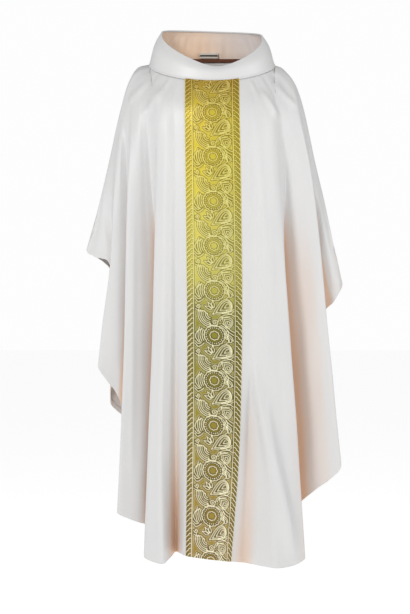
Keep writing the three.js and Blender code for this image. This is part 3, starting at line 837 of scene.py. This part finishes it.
# ---- Neck binding and label ----
# A cotton tape covers the neckline seam on the inside; its dark brown is painted shade in the hollow of the
# neck. The label is a small woven one, without words, sewn on at its two ends above the binding at the back.
def woven_label():
    """Damask-woven label: cream satin ground with a dark woven band of small lozenges."""
    made, tree, shader = new_finish("damask_woven_label", {"Roughness": 0.6, "Specular IOR Level": 0.3})
    places = add(tree, "UVMap", {"uv_map": "cloth"}).outputs[0]
    lozenges = add(tree, "TexChecker", links={"Vector": places, "Scale": 1 / (2.4 * mm),
                                             "Color1": linear("#2E2A28"), "Color2": linear("#6A625A")})
    parts = add(tree, "SeparateXYZ", links={0: places})
    band = add(tree, "Math", {"operation": "COMPARE"}, {0: parts.outputs["Y"], 1: -7.0 * mm, 2: 2.4 * mm})
    shade = add(tree, "Mix", {"data_type": "RGBA"}, {
        0: band.outputs[0], 6: linear("#E6DFD3"), 7: lozenges.outputs["Color"]})
    tree.links.new(shade.outputs[2], shader.inputs["Base Color"])
    threads(tree, 0.8 * mm, 0.1 * mm, shader, places)
    return made


binding_ply = 0.8 * mm
binding = surface(cad_skin("neck_binding", binding_ply), np.linspace(0, 2, 7), round_collar, ring=True)
flat = np.zeros((*binding.shape[:2], 2))
# Painted shade: the binding is coloured dark brown for the shade in the hollow of the neck, below the label.
painted_shade_tape = cotton_tape("painted_shade_brown_cotton_tape", "#7A4E3C", "#5F3A2C")
piece = ply("neck_seam_binding", binding, binding_ply, painted_shade_tape, flat, ring=True)
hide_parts("neck_binding")

label_ply = 0.6 * mm
label_lift = 3.2 * mm  # the lining's puckers lie between the frame's facing and the label
label = surface(cad_skin("neck_label", label_ply), np.linspace(0, 1, 9), np.linspace(0, 3, 31))
label = label - normals_of(label) * label_lift
label = label[::-1]
along = lengths(label, 0)
spread = np.stack([lengths(label, 1), -along], axis=-1)
piece = ply("neck_label_woven", label, label_ply, woven_label(), spread)
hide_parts("neck_label")


# ---- Sewing thread ----
# Spun polyester thread, in ivory on the cloth and in gold on the brocade, holds every piece to its
# neighbour. It shows as lockstitches: at the top of the hems, along both edges of each orphrey, above the
# collar's lower edge and across the two ends of the label.
stitch_pitch = 4 * mm
stitch_length = 3.1 * mm
stitch_width = 0.7 * mm
stitch_rise = 0.35 * mm


def spun_thread(name, colour):
    """Spun polyester sewing thread: matt and slightly hairy, twisted from two plies."""
    made, tree, shader = new_finish(name, {"Roughness": 0.7, "Specular IOR Level": 0.25, "Sheen Weight": 0.2})
    places = add(tree, "TexCoord").outputs["Object"]
    twist = add(tree, "TexWave", {"bands_direction": "DIAGONAL"}, {
        "Vector": places, "Scale": math.pi / (10 * 1.0 * mm), "Distortion": 0.3})
    pale = add(tree, "Mix", {"data_type": "RGBA", "blend_type": "MULTIPLY"}, {
        0: 0.15, 6: linear(colour), 7: twist.outputs["Color"]})
    tree.links.new(pale.outputs[2], shader.inputs["Base Color"])
    return made


def stitches(name, line, out, finish, ring=False):
    """A row of stitches along a line of points, whose normals are out: each is a short low dash of thread."""
    if ring:
        line, out = np.concatenate([line, line[:1]]), np.concatenate([out, out[:1]])
    along = np.concatenate([[0], np.cumsum(np.linalg.norm(np.diff(line, axis=0), axis=1))])
    count = int(along[-1] / stitch_pitch)
    middles = (np.arange(count) + 0.5) * along[-1] / count

    def at(places, values):
        return np.stack([np.interp(places, along, values[:, axis]) for axis in range(3)], axis=1)

    up = at(middles, out)
    up /= np.linalg.norm(up, axis=1, keepdims=True)
    ahead = at(middles + 0.5 * mm, line) - at(middles - 0.5 * mm, line)
    ahead /= np.linalg.norm(ahead, axis=1, keepdims=True)
    aside = np.cross(up, ahead)
    half = stitch_length / 2
    corners = [at(middles - half, line) - up * stitch_rise]
    for share in (-0.3, 0.3):
        centre = at(middles + share * stitch_length, line)
        for across, rise in ((-1, 0), (0, 1), (1, 0), (0, -1)):
            corners.append(centre + aside * (across * stitch_width / 2) + up * (rise * stitch_rise))
    corners.append(at(middles + half, line) - up * stitch_rise)
    points = np.stack(corners, axis=1).reshape(-1, 3)
    one = []
    for k in range(4):
        after = (k + 1) % 4
        near, near_after, far, far_after = 1 + k, 1 + after, 5 + k, 5 + after
        one += [(0, near_after, near), (near, near_after, far_after)]
        one += [(near, far_after, far), (9, far, far_after)]
    faces = (np.arange(count) * len(corners))[:, None, None] + np.array(one)[None]
    make_piece(name, points, faces.reshape(-1, 3), finish)


ivory_thread = spun_thread("spun_polyester_thread_ivory", "#E9E6E0")
gold_thread = spun_thread("spun_polyester_thread_gold", "#B89A3C")
for side, panel in panels.items():
    above_hem = 1 - len(hem_rows)
    normals = normals_of(panel["grid"])
    stitches(f"{side}_hem_thread", panel["grid"][above_hem], normals[above_hem], ivory_thread)
    normals = normals_of(bands[side])
    for edge, column in (("left", 2), ("right", -3)):
        line, out = bands[side][2:-1, column], normals[2:-1, column]
        stitches(f"{side}_orphrey_{edge}_thread", line, out, gold_thread)
normals = normals_of(profile, ring=True)
on_seam = -len(lower_edge) - 1
stitches("collar_seam_thread", profile[on_seam], normals[on_seam], ivory_thread, ring=True)
for end, column in (("left", 1), ("right", -2)):
    stitches(f"label_{end}_thread", label[:, column], normals_of(label)[:, column], ivory_thread)


# ---- Stage ----
# A pale floor, soft light from all round and two large soft lights in front, as in a studio.
camera_distance = 4.2
camera_height = -0.634
camera_side = -0.018
view_height = 1.5964  # how much of the object's plane the camera takes in
sensor = 36.0
floor_level = -1.55


def plain_floor():
    """Matt white studio paper: even, pale and without gloss."""
    settings = {"Base Color": linear("#C8C8C8"), "Roughness": 0.95, "Specular IOR Level": 0.1,
                "Emission Color": linear("#FFFFFF"), "Emission Strength": 0.765}
    return new_finish("matt_studio_paper", settings)[0]


bpy.ops.mesh.primitive_plane_add(size=60, location=(0, 0, floor_level))
floor = bpy.context.object
floor.name = "floor"
floor.data.materials.append(plain_floor())

world = bpy.data.worlds.new("studio")
bpy.context.scene.world = world
world.use_nodes = True
sky = world.node_tree
sky.nodes.clear()
seen = add(sky, "LightPath").outputs["Is Camera Ray"]
brightness = add(sky, "MapRange", links={"Value": seen, "To Min": 0.33, "To Max": 0.985})
light = add(sky, "Background", links={"Color": (1, 1, 1, 1), "Strength": brightness.outputs[0]})
add(sky, "OutputWorld", links={"Surface": light.outputs[0]})


def soft_light(name, place, size, power):
    lamp = bpy.data.lights.new(name, "AREA")
    lamp.shape = "DISK"
    lamp.size = size
    lamp.energy = power
    holder = bpy.data.objects.new(name, lamp)
    holder.location = place
    aim = Vector((0, 0, -0.6)) - holder.location
    holder.rotation_euler = aim.to_track_quat("-Z", "Y").to_euler()
    bpy.context.scene.collection.objects.link(holder)


soft_light("key_light", (-2.1, -3.4, 1.4), 1.1, 74)
soft_light("fill_light", (3.3, -1.7, 0.9), 1.6, 36)

eye = bpy.data.cameras.new("camera")
eye.sensor_width = sensor
eye.lens = sensor * camera_distance / view_height
camera = bpy.data.objects.new("camera", eye)
camera.location = (camera_side, -camera_distance, camera_height)
camera.rotation_euler = (math.pi / 2, 0, 0)
bpy.context.scene.collection.objects.link(camera)
bpy.context.scene.camera = camera
bpy.context.scene.view_settings.view_transform = "Standard"
